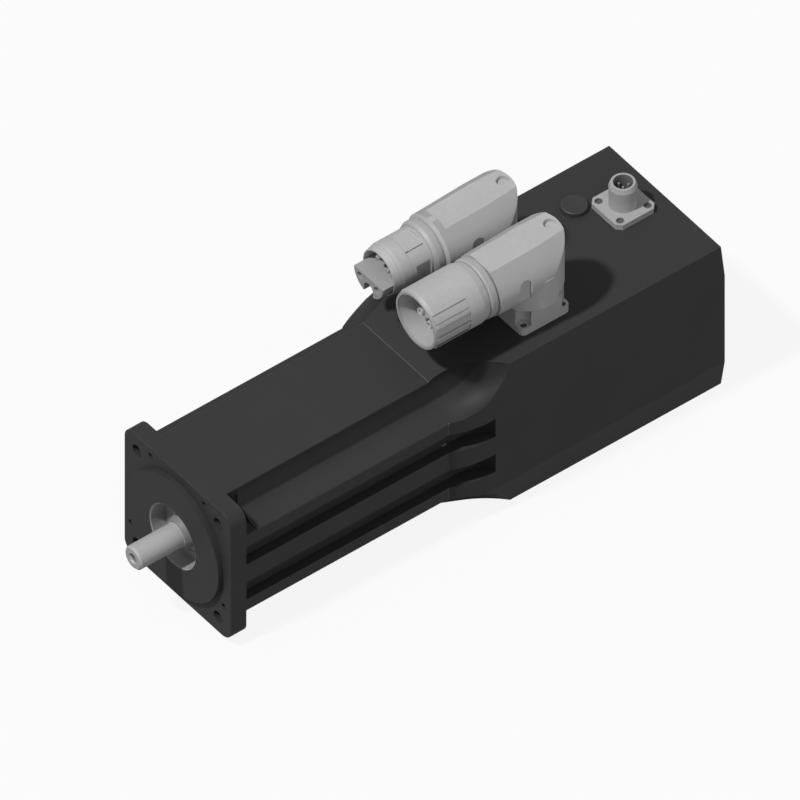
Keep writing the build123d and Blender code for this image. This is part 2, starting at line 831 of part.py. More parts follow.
def make_capacitors():
    """Three smoothing capacitors standing on the power board."""
    y = power_module_place()
    places = [(-capacitor_pitch, y), (0, y), (capacitor_pitch, y)]
    top = board_top + capacitor_height
    return group(rod_z(capacitor_dia, board_top, top, x, y) for x, y in places)


def make_terminal_block():
    """Terminal of the three motor leads."""
    start = cavity_start + power_board_inset + 1
    half = terminal_width / 2
    return block(-half, half, start, start + terminal_depth, board_top, board_top + terminal_height)


def spacer_places():
    """Places of the four spacers between the boards."""
    x = board_width / 2 - post_margin
    near = cavity_start + power_board_inset + 4 * post_margin
    far = near + power_board_length - 8 * post_margin
    return [(-x, near), (x, near), (-x, far), (x, far)]


def make_spacers():
    """Spacers between the power board and the control board."""
    places = spacer_places()
    return group(rod_z(spacer_dia, board_top, control_bottom, x, y) for x, y in places)


def make_control_board():
    """Upper board with the controller."""
    start = cavity_start + power_board_inset
    half = board_width / 2
    return block(-half, half, start, start + control_board_length, control_bottom, control_top)


def make_board_screws():
    """Screws of the power board in the housing's posts."""
    screws = []
    for x, y in power_board_posts():
        screw = rod_z(screw_dia, board_bottom - power_board_lift + 2, board_top, x, y)
        screws.append(screw + rod_z(screw_head_dia, board_top, board_top + screw_head_height / 2, x, y))
    return group(screws)


def make_headers():
    """Plugs on the control board under the two swivelling connectors."""
    headers = []
    for side in (-1, 1):
        x = side * connector_x
        y = connector_y
        half_x = header_width / 2
        half_y = header_depth / 2
        top = control_top + header_height
        headers.append(block(x - half_x, x + half_x, y - half_y, y + half_y, control_top, top))
    return group(headers)


def signal_leads(x, y, bottom, top):
    """Four leads from a header up into a connector."""
    leads = []
    for dx, dy in four_corners(signal_lead_ring / 2 / sqrt(2), signal_lead_ring / 2 / sqrt(2)):
        leads.append(rod_z(signal_lead_dia, bottom, top, x + dx, y + dy))
    return leads


def make_base():
    """Fixed square foot of a swivelling connector, about its own swivel axis."""
    half = base_size / 2
    base = block(-half, half, -half, half, half_box, base_top)
    base += rod_z(base_neck_dia, cavity_half_z, half_box, 0, 0)
    corner_edges = base.edges().filter_by(Axis.Z)
    corner_edges = [edge for edge in corner_edges if edge.center().X ** 2 + edge.center().Y ** 2 > half ** 2 * 1.5]
    base = fillet(corner_edges, half - base_hole_offset)
    for dx, dy in four_corners(base_hole_offset, base_hole_offset):
        base -= rod_z(base_pocket_dia, half_box + base_plate, base_top + 1, dx, dy)
        pocket_x = dx + (base_pocket_dia if dx > 0 else -base_pocket_dia) / 2
        pocket_y = dy + (base_pocket_dia if dy > 0 else -base_pocket_dia) / 2
        size = base_pocket_dia
        middle = (half_box + base_plate + base_top + 1) / 2
        height = base_height - base_plate + 1
        base -= Pos(pocket_x, pocket_y, middle) * Box(size, size, height)
        base -= rod_z(screw_dia + 2 * fit_gap, half_box - 1, base_top, dx, dy)
    seat = base_top - swivel_depth - fit_gap
    base -= rod_z(swivel_bore_dia, seat, base_top + 1)
    base -= rod_z(swivel_bore_dia - 2 * swivel_wall - 2, cavity_half_z - 1, seat + 1)
    clip_low = elbow_bottom - swivel_depth + clip_height
    groove_dia = swivel_bore_dia + 2 * clip_reach + 2 * run_gap
    base -= rod_z(groove_dia, clip_low - run_gap, clip_low + clip_thick + run_gap)
    return base


def make_swivel_clip():
    """Split ring that keeps an elbow in its foot."""
    low = elbow_bottom - swivel_depth + clip_height
    clip = rod_z(swivel_bore_dia + 2 * clip_reach, low, low + clip_thick)
    clip -= rod_z(swivel_bore_dia - 2 * clip_reach, low - 1, low + clip_thick + 1)
    return clip - block(-1.5, 1.5, 0, swivel_bore_dia, low - 1, low + clip_thick + 1)


def elbow_shape(reach):
    """Solid outside of an elbow about its swivel axis, its mouth towards -Y."""
    back = elbow_dia / 2
    neck = back - elbow_draft
    body = rod_y(2 * neck, 0, back + 1, 0, axis_height)
    body = body & rod_z(elbow_dia, elbow_bottom, axis_height + elbow_dia)
    body += turned_y([(0, -reach), (elbow_front_dia / 2, -reach), (neck, 0), (0, 0)], 0, axis_height)
    body += rod_z(elbow_dia, elbow_bottom, axis_height)
    slope = Polyline(
        (-reach - 1, axis_height + elbow_facet_front),
        (back + 1, axis_height + elbow_facet_rear),
        (back + 1, axis_height + elbow_dia),
        (-reach - 1, axis_height + elbow_dia),
        close=True,
    )
    facet = extrude(Plane.YZ * make_face(slope), elbow_dia, both=True)
    body -= facet
    body += rod_z(swivel_bore_dia - 2 * run_gap, elbow_bottom - swivel_depth, elbow_bottom + 1)
    return body


def window_cutter(width, height, depth):
    """Cutter with an arched top, pointing along +X, its foot at the origin."""
    sketch = Pos(0, (height - width / 2) / 2) * Rectangle(width, height - width / 2)
    sketch += Pos(0, height - width / 2) * Circle(width / 2)
    return extrude(Plane.YZ * sketch, depth)


def make_elbow(reach):
    """Hollow elbow with its windows, dimple, stop notch and clip groove."""
    elbow = elbow_shape(reach)
    window_foot = axis_height - window_height / 2 - 0.7
    window = window_cutter(window_width, window_height, elbow_dia)
    window = Pos(elbow_dia / 2 - side_window_depth, -side_window_back, window_foot) * window
    elbow -= window
    elbow -= mirror(window, Plane.YZ)
    rear = Rot(0, 0, 90) * window_cutter(window_width, rear_window_height, elbow_dia)
    rear_foot = axis_height - rear_window_height / 2 - 0.4
    elbow -= Pos(0, elbow_dia / 2 - rear_window_depth, rear_foot) * rear
    elbow -= rod_z(dimple_dia, axis_height + elbow_facet_rear - dimple_depth - 0.2,
                   axis_height + elbow_dia, 0, dimple_back)
    notch_r = stop_notch_dia / 2
    rise = elbow_dia / 2 - notch_r
    notch_top = elbow_bottom + stop_notch_height
    notch = Polyline(
        (notch_r, elbow_bottom - 1),
        (elbow_dia, elbow_bottom - 1),
        (elbow_dia, notch_top + elbow_dia / 2),
        (notch_r, notch_top - rise),
        close=True,
    )
    notch = Plane.XZ * make_face(notch)
    notch = revolve(Rot(0, 0, 90 - stop_notch_half_angle) * notch, Axis.Z, 2 * stop_notch_half_angle)
    elbow -= notch
    elbow -= rod_y(elbow_bore, -reach - 1, 0, 0, axis_height)
    elbow -= rod_z(elbow_duct, elbow_bottom - swivel_depth - 1, axis_height)
    low = elbow_bottom - swivel_depth + clip_height
    groove = rod_z(swivel_bore_dia + 1, low - fit_gap, low + clip_thick + fit_gap)
    groove -= rod_z(swivel_bore_dia - 2 * clip_reach - 2 * fit_gap, low - 1, low + clip_thick + 1)
    return elbow - groove


def make_right_barrel():
    """Inner barrel of the right connector, with the collar behind the nut."""
    back = -right_elbow_reach
    collar_back = back - right_collar_gap
    collar_front = collar_back - right_collar_width
    front = -right_barrel_reach
    barrel = rod_y(right_barrel_dia, front, collar_front + 1)
    collar = rod_y(right_collar_dia, collar_front, collar_back)
    round_edges = collar.edges().filter_by(GeomType.CIRCLE)
    barrel += fillet(round_edges, right_collar_width / 4)
    barrel += rod_y(right_collar_dia - 3, collar_back - 1, back)
    barrel += rod_y(elbow_bore - 2 * fit_gap, back - 1, back + 6)
    barrel -= rod_y(right_barrel_dia - 2.2, front - 1, collar_front - 1)
    barrel -= rod_y(elbow_bore - 3, front, back + 7)
    ring_y = front + 1.5
    groove = rod_y(right_barrel_dia + 1, ring_y - fit_gap, ring_y + snap_ring_thick + fit_gap)
    groove -= rod_y(right_barrel_dia - 2 * snap_ring_reach, ring_y - 1, ring_y + snap_ring_thick + 1)
    return Pos(0, 0, axis_height) * (barrel - groove)


def make_snap_ring():
    """Split ring that keeps the nut on the right connector's barrel."""
    start = 1.5 - right_barrel_reach
    outer = right_barrel_dia + 2 * snap_ring_reach
    ring = rod_y(outer, start, start + snap_ring_thick)
    ring -= rod_y(right_barrel_dia - 2 * snap_ring_reach + 2 * fit_gap, start - 1, start + snap_ring_thick + 1)
    ring -= block(-1, 1, start - 1, start + snap_ring_thick + 1, 0, outer)
    return Pos(0, 0, axis_height) * ring


def nut_span():
    """Front and back of the coupling nut along its own axis."""
    back = -right_elbow_reach - right_collar_gap - right_collar_width - nut_gap
    return back - nut_length, back


def make_coupling_nut():
    """Coupling nut of the right connector, with shallow panels pressed into its rim."""
    front, back = nut_span()
    r = nut_dia / 2
    points = [(0, front), (r - nut_front_chamfer, front), (r, front + 2 * nut_front_chamfer)]
    points += [(r, back - 2 * nut_rear_chamfer), (r - nut_rear_chamfer / 2, back), (0, back)]
    nut = turned_y(points)
    bore_back = right_barrel_dia + 2 * run_gap
    nut -= rod_y(bore_back, front - 1, back + 1)
    ring_y = 1.5 - right_barrel_reach
    nut -= rod_y(nut_bore, front - 1, ring_y - loose_gap)
    relief = right_barrel_dia + 2 * snap_ring_reach + 2 * run_gap
    nut -= rod_y(relief, ring_y - loose_gap, ring_y + snap_ring_thick + loose_gap)
    panel = Circle(r + 1) - Circle(r - nut_panel_depth)
    half = nut_panel_angle / 2
    corner = on_circle(nut_dia, half)
    wedge = make_face(Polyline((0, 0), (corner[0], -corner[1]), corner, close=True))
    panel = prism_y(panel & wedge, front - 1, front + nut_panel_length)
    for index in range(nut_panel_count):
        middle = nut_panel_start - half - nut_panel_pitch * index
        nut -= Rot(0, -middle, 0) * panel
    return Pos(0, 0, axis_height) * nut


def sleeve_places():
    """Places of the right connector's contact sleeves about its axis."""
    places = [(0.0, 0.0)]
    for index in range(sleeve_ring_count):
        places.append(on_circle(sleeve_ring / 2, sleeve_first_angle + 360 / sleeve_ring_count * index))
    return places


def make_right_insert():
    """Insulating insert of the right connector with a sleeve round each contact."""
    front = 2.0 - right_barrel_reach
    insert = rod_y(elbow_bore - 3 - 2 * fit_gap, front, front + right_insert_length)
    for x, z in sleeve_places():
        insert += rod_y(sleeve_dia, front - sleeve_reach, front + 1, x, z)
        insert -= rod_y(sleeve_hole, front - sleeve_reach - 1, front + right_insert_length - 2, x, z)
    return Pos(0, 0, axis_height) * insert


def make_right_contacts():
    """Socket contacts inside the sleeves."""
    front = 2.0 - right_barrel_reach
    contacts = []
    for x, z in sleeve_places():
        start = front - sleeve_reach + 1.5
        end = front + right_insert_length - 2
        contacts.append(rod_y(sleeve_hole - 2 * fit_gap, start, end, x, z + axis_height))
    return group(contacts)


def make_left_barrel():
    """Fixed barrel of the left connector with its ring, flats and thin nose."""
    back = -left_elbow_reach - left_collar_width
    ring_front = back - left_ring_width
    front = -left_barrel_reach
    r = left_barrel_dia / 2
    ring_r = left_ring_dia / 2
    nose = front + left_nose_length
    points = [(0, front), (left_nose_dia / 2, front), (r, nose), (r, ring_front)]
    points += [(ring_r - 0.8, ring_front), (ring_r, ring_front + 1.6), (ring_r, back - 1)]
    points += [(ring_r - 0.5, back), (elbow_bore / 2 - fit_gap, back)]
    points += [(elbow_bore / 2 - fit_gap, back + left_collar_width + 6), (0, back + left_collar_width + 6)]
    barrel = turned_y(points)
    barrel -= rod_y(left_bore, front - 1, -left_insert_step + 1)
    barrel -= rod_y(left_bore - 2, front, back + left_collar_width + 7)
    start = -left_window_front
    half = left_window_width / 2
    end = start + left_window_length
    flat = r - left_window_depth
    window = block(-half, half, start, end, flat, r + 1)
    slit_r = sqrt(r ** 2 - half ** 2)
    slit = block(half - left_slit, half, start, end, slit_r - 1, r + 1)
    barrel -= window
    barrel -= slit
    barrel -= Rot(0, 90, 0) * (window + slit)
    return Pos(0, 0, axis_height) * barrel


def make_left_insert():
    """Insert of the left connector: a round body with a half-round tongue in front."""
    insert = rod_y(left_bore - 2 - 2 * fit_gap, -left_insert_step, -left_insert_back)
    tongue = rod_y(left_insert_dia, -left_insert_front, -left_insert_step)
    r = left_insert_dia
    tongue -= block(-r, r, -left_insert_front - 1, -left_insert_step + 1, 0, r)
    for side in (-1, 1):
        hole = rod_y(insert_hole_dia, -left_insert_front - 1, -left_insert_step, side * insert_hole_x, -insert_hole_drop)
        tongue -= hole
    half = insert_slot_width / 2
    tongue -= rod_y(insert_slot_width, -left_insert_front - 1, -left_insert_step, 0, -insert_slot_drop)
    tongue -= block(-half, half, -left_insert_front - 1, -left_insert_step, -r, -insert_slot_drop)
    return Pos(0, 0, axis_height) * (insert + tongue)


def make_left_pins():
    """Pin contacts above the tongue."""
    pins = []
    for degrees in pin_angles:
        x, z = on_circle(pin_ring / 2, degrees)
        start = -left_insert_step - pin_reach
        pins.append(rod_y(pin_dia, start, -left_insert_step, x, z + axis_height))
    return group(pins)


def make_left_elbow():
    """Left elbow with the ring at its mouth."""
    elbow = make_elbow(left_elbow_reach)
    r = left_collar_dia / 2
    front = -left_elbow_reach - left_collar_width
    bore = elbow_bore / 2
    points = [(bore, -left_elbow_reach), (r, -left_elbow_reach), (r, front + 1.2), (r - 1, front), (bore, front)]
    return elbow + turned_y(points, 0, axis_height)


def make_sensor_shell():
    """Small round connector with a square flange and a spigot through the wall."""
    flange = Rectangle(sensor_flange, sensor_flange)
    flange = chamfer(flange.vertices(), sensor_corner)
    shell = Pos(0, 0, half_box) * extrude(flange, sensor_flange_thick)
    r = sensor_dia / 2
    lip = sensor_lip_dia / 2
    spigot = sensor_spigot_dia / 2
    low = half_box - sensor_spigot_length
    points = [(0, low), (spigot, low), (spigot, half_box), (r, half_box)]
    points += [(r, sensor_top - sensor_chamfer_height), (lip, sensor_top), (0, sensor_top)]
    shell += revolve(Plane.XZ * make_face(Polyline(*points, close=True)), Axis.Z)
    shell -= rod_z(sensor_bore, sensor_top - sensor_bore_depth, sensor_top + 1)
    shell -= rod_z(sensor_bore - 1, low - 1, sensor_top)
    for dx, dy in four_corners(sensor_hole_offset, sensor_hole_offset):
        shell -= rod_z(screw_dia + 2 * fit_gap, half_box - 1, sensor_top, dx, dy)
    return Pos(sensor_x, sensor_y, 0) * shell


def sensor_pins():
    """Places of the sensor connector's pins."""
    ring = sensor_pin_ring / 2
    return [(0, 0), (ring, 0), (-ring, 0), (0, ring), (0, -ring)]


def make_sensor_insert():
    """Insulating insert of the sensor connector."""
    top = sensor_top - sensor_bore_depth
    low = half_box - sensor_spigot_length
    insert = rod_z(sensor_bore - 1 - 2 * fit_gap, low, top)
    for dx, dy in sensor_pins():
        insert -= rod_z(sensor_pin_dia + 2 * fit_gap, low - 1, top + 1, dx, dy)
    return Pos(sensor_x, sensor_y, 0) * insert


def make_sensor_pins():
    """Pins of the sensor connector."""
    tip = sensor_top - sensor_pin_tip
    low = half_box - sensor_spigot_length - 2
    pins = []
    for dx, dy in sensor_pins():
        pin = rod_z(sensor_pin_dia, low, tip, sensor_x + dx, sensor_y + dy)
        pins.append(pin)
    return group(pins)


def make_blank_plug():
    """Screw plug that closes a spare opening, with a slot for a coin."""
    top = half_box + plug_head_height
    plug = rod_z(plug_head_dia, half_box, top)
    plug = fillet(plug.edges().group_by(Axis.Z)[-1], plug_head_height / 3)
    plug += rod_z(plug_shank_dia, half_box - plug_shank_length, half_box + 1)
    return Pos(plug_x, plug_y, 0) * plug


def inside_screws(places, plate):
    """Screws put in from inside the box, their tips sunk in a plate of that thickness."""
    length = box_wall_top + plate - 0.9
    return group(Pos(x, y, cavity_half_z) * socket_screw(length) for x, y in places)


def build():
    """Make every sub-part and write it."""
    cutter = corner_cutter()
    write("front_flange", make_front_flange())
    write("motor_body", make_motor_body(cutter))
    write("drive_housing", make_drive_housing(cutter))
    write("rear_cover", make_rear_cover())
    write("rear_cover_gasket", make_cover_gasket())
    places = four_corners(cover_screw_x, cover_screw_z)
    write("rear_cover_screws", group(make_cover_screw(x, z) for x, z in places))
    rods = [on_circle(tie_rod_radius, degrees) for degrees in tie_rod_angles]
    write("tie_rods", group(make_tie_rod(x, z) for x, z in rods))
    write("end_plate", make_end_plate())

    front = (front_bore, front_od, front_width, front_ball, bearing_start)
    rear = (rear_bore, rear_od, rear_width, rear_ball, rear_bearing_start)
    shields = []
    for name, sizes in (("front", front), ("rear", rear)):
        bore, outside, width, ball, start = sizes
        inner, outer = bearing_rings(*sizes)
        write(f"{name}_bearing_inner_ring", inner)
        write(f"{name}_bearing_outer_ring", outer)
        write(f"{name}_bearing_balls", bearing_balls(*sizes))
        write(f"{name}_bearing_cage", bearing_cage(*sizes))
        shields += bearing_shields(bore, outside, width, start)
    write("bearing_shields", group(shields))
    write("front_bearing_circlip", make_circlip())

    write("motor_shaft", make_motor_shaft())
    write("rotor_core", make_rotor_core())
    write("rotor_magnets", make_magnets())
    write("rotor_sleeve", make_rotor_sleeve())
    write("stator_core", make_stator_core())
    write("stator_coils", make_coils())
    write("stator_wiring_ring", make_wiring_ring())
    write("phase_leads", make_phase_leads())
    write("code_wheel", make_code_wheel())
    write("sensor_board_posts", make_reader_posts())
    write("sensor_board", make_reader_board())
    write("sensor_board_screws", make_reader_screws())

    write("power_board", make_power_board())
    write("power_module", make_power_module())
    write("thermal_pad", make_thermal_pad())
    write("capacitors", make_capacitors())
    write("terminal_block", make_terminal_block())
    write("board_spacers", make_spacers())
    write("control_board", make_control_board())
    write("board_screws", make_board_screws())
    write("board_headers", make_headers())

    left_place = Pos(-connector_x, connector_y, 0)
    right_place = Pos(connector_x, connector_y, 0)
    corners = four_corners(base_hole_offset, base_hole_offset)
    spots = []
    leads = []
    for name, place, x in (("left", left_place, -connector_x), ("right", right_place, connector_x)):
        write(f"{name}_connector_base", place * make_base())
        write(f"{name}_swivel_clip", place * make_swivel_clip())
        spots += [(x + dx, connector_y + dy) for dx, dy in corners]
        top = elbow_bottom - swivel_depth - 1
        leads += signal_leads(x, connector_y, control_top + header_height, top)
    write("base_screws", inside_screws(spots, base_plate))
    write("connector_leads", group(leads))
    write("left_elbow", left_place * make_left_elbow())
    write("left_barrel", left_place * make_left_barrel())
    write("left_insert", left_place * make_left_insert())
    write("left_pins", left_place * make_left_pins())
    write("right_elbow", right_place * make_elbow(right_elbow_reach))
    write("right_barrel", right_place * make_right_barrel())
    write("right_snap_ring", right_place * make_snap_ring())
    write("right_coupling_nut", right_place * make_coupling_nut())
    write("right_insert", right_place * make_right_insert())
    write("right_contacts", right_place * make_right_contacts())

    write("sensor_connector", make_sensor_shell())
    write("sensor_connector_insert", make_sensor_insert())
    write("sensor_connector_pins", make_sensor_pins())
    corners = four_corners(sensor_hole_offset, sensor_hole_offset)
    spots = [(sensor_x + dx, sensor_y + dy) for dx, dy in corners]
    write("sensor_connector_screws", inside_screws(spots, sensor_flange_thick))
    write("blank_plug", make_blank_plug())


build()
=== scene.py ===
"""Looks of an integrated servo motor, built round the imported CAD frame. Lengths are in metres."""
import json
import math

import bmesh
import bpy
from mathutils import Matrix, Vector


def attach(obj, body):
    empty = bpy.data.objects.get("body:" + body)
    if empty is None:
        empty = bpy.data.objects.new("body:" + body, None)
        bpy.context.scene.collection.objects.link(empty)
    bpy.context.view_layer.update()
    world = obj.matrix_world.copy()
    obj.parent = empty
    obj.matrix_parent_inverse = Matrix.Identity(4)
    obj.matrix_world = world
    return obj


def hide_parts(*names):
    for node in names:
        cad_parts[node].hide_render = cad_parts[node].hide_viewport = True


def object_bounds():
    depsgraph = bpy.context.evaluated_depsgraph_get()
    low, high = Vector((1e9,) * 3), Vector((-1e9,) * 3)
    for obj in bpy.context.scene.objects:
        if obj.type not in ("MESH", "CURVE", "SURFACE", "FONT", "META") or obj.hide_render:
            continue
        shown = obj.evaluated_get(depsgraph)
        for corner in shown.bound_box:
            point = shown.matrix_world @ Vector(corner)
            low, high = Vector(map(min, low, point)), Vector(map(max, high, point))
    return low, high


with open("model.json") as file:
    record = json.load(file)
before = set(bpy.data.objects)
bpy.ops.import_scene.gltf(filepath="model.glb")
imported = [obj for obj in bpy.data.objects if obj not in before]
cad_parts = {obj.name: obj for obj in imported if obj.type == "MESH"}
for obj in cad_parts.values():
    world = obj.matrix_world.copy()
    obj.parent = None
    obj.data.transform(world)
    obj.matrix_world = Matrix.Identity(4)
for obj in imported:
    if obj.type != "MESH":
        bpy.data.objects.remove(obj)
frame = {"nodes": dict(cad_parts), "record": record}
cad_low_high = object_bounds()
nodes = frame["nodes"]

# Camera: a parallel view whose picture plane is 0.3232 m wide
VIEW_RIGHT = Vector((0.61566, 0.78801, 0.0))
VIEW_UP = Vector((-0.55721, 0.43534, 0.70711))
VIEW_BACK = Vector((0.55721, -0.43534, 0.70711))
VIEW_WIDTH = 0.32323
VIEW_ACROSS = 0.0899
VIEW_HEIGHT = 0.0541
VIEW_CENTRE = VIEW_RIGHT * VIEW_ACROSS + VIEW_UP * VIEW_HEIGHT
VIEW_DISTANCE = 1.2
VIEW_REACH = 20.0

# Light
AMBIENT = 0.29
KEY_DIRECTION = Vector((-0.05, -0.6, 1.0))
KEY_STRENGTH = 2.3
KEY_SOFTNESS = 4.0
FILL_DIRECTION = Vector((1.0, -0.1, 0.25))
FILL_STRENGTH = 0.45
FILL_SOFTNESS = 50.0
BACKGROUND = (0.965, 0.965, 0.965, 1.0)
FLOOR_GLOW = 0.924
GLOW_IN_GLOSS = 0.45
FLOOR_COLOUR = (0.08, 0.08, 0.08, 1.0)
FLOOR_REACH = 6.0
WHITE = (1.0, 1.0, 1.0)
BLACK = (0.0, 0.0, 0.0)

# Sockets of a mix node, whose names are shared by its kinds of value
COLOUR_FIRST = 6
COLOUR_SECOND = 7
COLOUR_RESULT = 2
VECTOR_FIRST = 4
VECTOR_SECOND = 5
VECTOR_RESULT = 1

# Greys of the finishes, and shares of metal in them
COAT_GREY = 0.0385
COAT_WEAR = 0.06
COAT_WORN = 4.5
COAT_SPECK = 0.35
BARE_PLATE = 0.36
SEAM_GREY = 0.13
PLATE_GREY = 0.51
BARREL_GREY = 0.44
PLATE_METAL = 0.1
PLATE_MARKS = 0.4
PLATE_TINT = 0.004
EDGE_SHARE = 0.6
TONGUE_GREY = 0.38
# Painted light on the tongue's front face
TONGUE_FRONT_PAINTED_LIGHT = 0.78
# Painted shade: the left barrel's rear ring, fine lines and slit end, and the nut's chamfer and ledges
RING_PAINTED_SHADE = 0.45
LINE_PAINTED_SHADE = 0.36
SLIT_PAINTED_SHADE = 0.04
CHAMFER_PAINTED_SHADE = 0.43
LEDGE_PAINTED_SHADE = 0.1
SHAFT_GREY = 0.49
# Painted shade in hollows: the shaft's collar and centre hole, and the sensor connector's bore and screw
# holes
COLLAR_PAINTED_SHADE = 0.25
CENTRE_PAINTED_SHADE = 0.17
SOCKET_PAINTED_SHADE = 0.2
PIN_GREY = 0.33
SCREW_METAL = 0.3
ROUGH_SPREAD = 0.06

# Edges that the materials set off in another tone: worn paint on the coat, a painted highlight on the
# plating, painted shade on the coupling nut
COAT_EDGE = 0.00035
PLATE_EDGE = 0.00025
EDGE_SAMPLES = 6
EDGE_FLAT = 0.995
EDGE_SHARP = 0.86

# Places on the CAD model that the materials follow
SEAM_Y = 0.1118
SEAM_HALF = 0.00013
PLATE_FACE = 0.0346
SIDE_RIB = 0.0152
RECESS_RADIUS = 0.01514
CHANNEL_SIDE = 0.0343
CHANNEL_LOW = 0.0205
CHANNEL_TURN = 0.777
CHANNEL_SPREAD = 0.03
# Painted shade in the corner channels and on the flare into the box
CHANNEL_WALL_SHADE = (0.36, 0.36, 0.36)
CHANNEL_UPRIGHT_SHADE = (0.6, 0.6, 0.6)
FLARE_END = 0.16
FLARE_PAINTED_SHADE = (0.5, 0.5, 0.5)
LEVEL_FACE = 0.995
# Painted light on upright faces and painted shade on faces leaning off level, round the elbows' flats
UPRIGHT_PAINTED_LIGHT = 1.05
LEANING_PAINTED_SHADE = 0.78
UPRIGHT_END = 0.2
LEANING_START = 0.85
LEFT_AXIS = (-0.0155, 0.0662)
RIGHT_AXIS = (0.0155, 0.0662)
NOSE_EDGE = 0.1183
WINDOW_FRONT = 0.1245
WINDOW_SLIT = 0.1262
SLIT_X = -0.0098
LINE_HALF = 0.00011
NUT_FACE = 0.10956
TONGUE_FACE = 0.10956
SENSOR_X = -0.0052
SENSOR_Y = 0.2325
SENSOR_BORE = 0.0042
SENSOR_HOLE = 0.00705
SENSOR_SCREW = 0.0018
SHAFT_RADIUS = 0.0057
CENTRE_HOLE = 0.002
RING_FRONT = 0.1345
NUT_WALL = 0.0125
NUT_CHAMFER = 0.1111
LEDGE_TURN = 0.45

# Contacts seen in the mouths of the two connectors
ROUND_SIDES = 40
SLEEVE_RING = 0.0056
SLEEVE_ANGLES = (207.0, 279.0, 351.0, 63.0, 135.0)
SLEEVE_PROFILE = ((0.0008, 0.1201), (0.0008, 0.1162), (0.00165, 0.1159), (0.0018, 0.1161), (0.0018, 0.1201))
PIN_RING = 0.0070
LONG_PIN_ANGLES = (42.0, 102.0)
SHORT_PIN_ANGLES = (162.0,)
PIN_BACK = 0.1236
LONG_PIN_FRONT = 0.1154
SHORT_PIN_FRONT = 0.1212
PIN_RADIUS = 0.0012
PIN_TIP_RADIUS = 0.0008
PIN_TAPER = 0.0005
WELD_DISTANCE = 1e-7


def aim(direction):
    """Rotation that makes a lamp shine from that direction."""
    return direction.to_track_quat("Z", "Y")


def add_camera():
    """Parallel camera at the photograph's angle."""
    data = bpy.data.cameras.new("camera")
    data.type = "ORTHO"
    data.ortho_scale = VIEW_WIDTH
    data.clip_end = VIEW_REACH
    camera = bpy.data.objects.new("camera", data)
    turn = Matrix((VIEW_RIGHT, VIEW_UP, VIEW_BACK)).transposed()
    camera.matrix_world = Matrix.Translation(VIEW_CENTRE + VIEW_BACK * VIEW_DISTANCE) @ turn.to_4x4()
    bpy.context.scene.collection.objects.link(camera)
    bpy.context.scene.camera = camera


def add_sun(name, direction, strength, softness):
    """Sun lamp shining from a direction, with an angle in degrees that softens its shadow."""
    data = bpy.data.lights.new(name, "SUN")
    data.energy = strength
    data.angle = math.radians(softness)
    lamp = bpy.data.objects.new(name, data)
    lamp.rotation_mode = "QUATERNION"
    lamp.rotation_quaternion = aim(direction)
    bpy.context.scene.collection.objects.link(lamp)


def add_world():
    """Even light all round, seen as a pale background."""
    world = bpy.data.worlds.new("world")
    bpy.context.scene.world = world
    world.use_nodes = True
    tree = world.node_tree
    tree.nodes.clear()
    light = tree.nodes.new("ShaderNodeBackground")
    light.inputs["Color"].default_value = (*WHITE, 1.0)
    light.inputs["Strength"].default_value = AMBIENT
    seen = tree.nodes.new("ShaderNodeBackground")
    seen.inputs["Color"].default_value = BACKGROUND
    seen.inputs["Strength"].default_value = 1.0
    path = tree.nodes.new("ShaderNodeLightPath")
    mix = tree.nodes.new("ShaderNodeMixShader")
    out = tree.nodes.new("ShaderNodeOutputWorld")
    tree.links.new(path.outputs["Is Camera Ray"], mix.inputs[0])
    tree.links.new(light.outputs[0], mix.inputs[1])
    tree.links.new(seen.outputs[0], mix.inputs[2])
    tree.links.new(mix.outputs[0], out.inputs["Surface"])


def add_floor(height):
    """Pale floor that keeps a faint shadow."""
    mesh = bpy.data.meshes.new("floor")
    r = FLOOR_REACH
    corners = [(-r, -r, height), (r, -r, height), (r, r, height), (-r, r, height)]
    mesh.from_pydata(corners, [], [(0, 1, 2, 3)])
    floor = bpy.data.objects.new("floor", mesh)
    bpy.context.scene.collection.objects.link(floor)
    material = bpy.data.materials.new("floor")
    material.use_nodes = True
    tree = material.node_tree
    tree.nodes.clear()
    plain = tree.nodes.new("ShaderNodeBsdfDiffuse")
    plain.inputs["Color"].default_value = FLOOR_COLOUR
    glow = tree.nodes.new("ShaderNodeEmission")
    glow.inputs["Color"].default_value = BACKGROUND
    glow.inputs["Strength"].default_value = FLOOR_GLOW
    both = tree.nodes.new("ShaderNodeAddShader")
    path = tree.nodes.new("ShaderNodeLightPath")
    gloss = tree.nodes.new("ShaderNodeMath")
    gloss.operation = "MULTIPLY_ADD"
    gloss.inputs[1].default_value = GLOW_IN_GLOSS
    tree.links.new(path.outputs["Is Glossy Ray"], gloss.inputs[0])
    tree.links.new(path.outputs["Is Camera Ray"], gloss.inputs[2])
    mix = tree.nodes.new("ShaderNodeMixShader")
    out = tree.nodes.new("ShaderNodeOutputMaterial")
    tree.links.new(plain.outputs[0], both.inputs[0])
    tree.links.new(glow.outputs[0], both.inputs[1])
    tree.links.new(gloss.outputs[0], mix.inputs[0])
    tree.links.new(plain.outputs[0], mix.inputs[1])
    tree.links.new(both.outputs[0], mix.inputs[2])
    tree.links.new(mix.outputs[0], out.inputs["Surface"])
    mesh.materials.append(material)


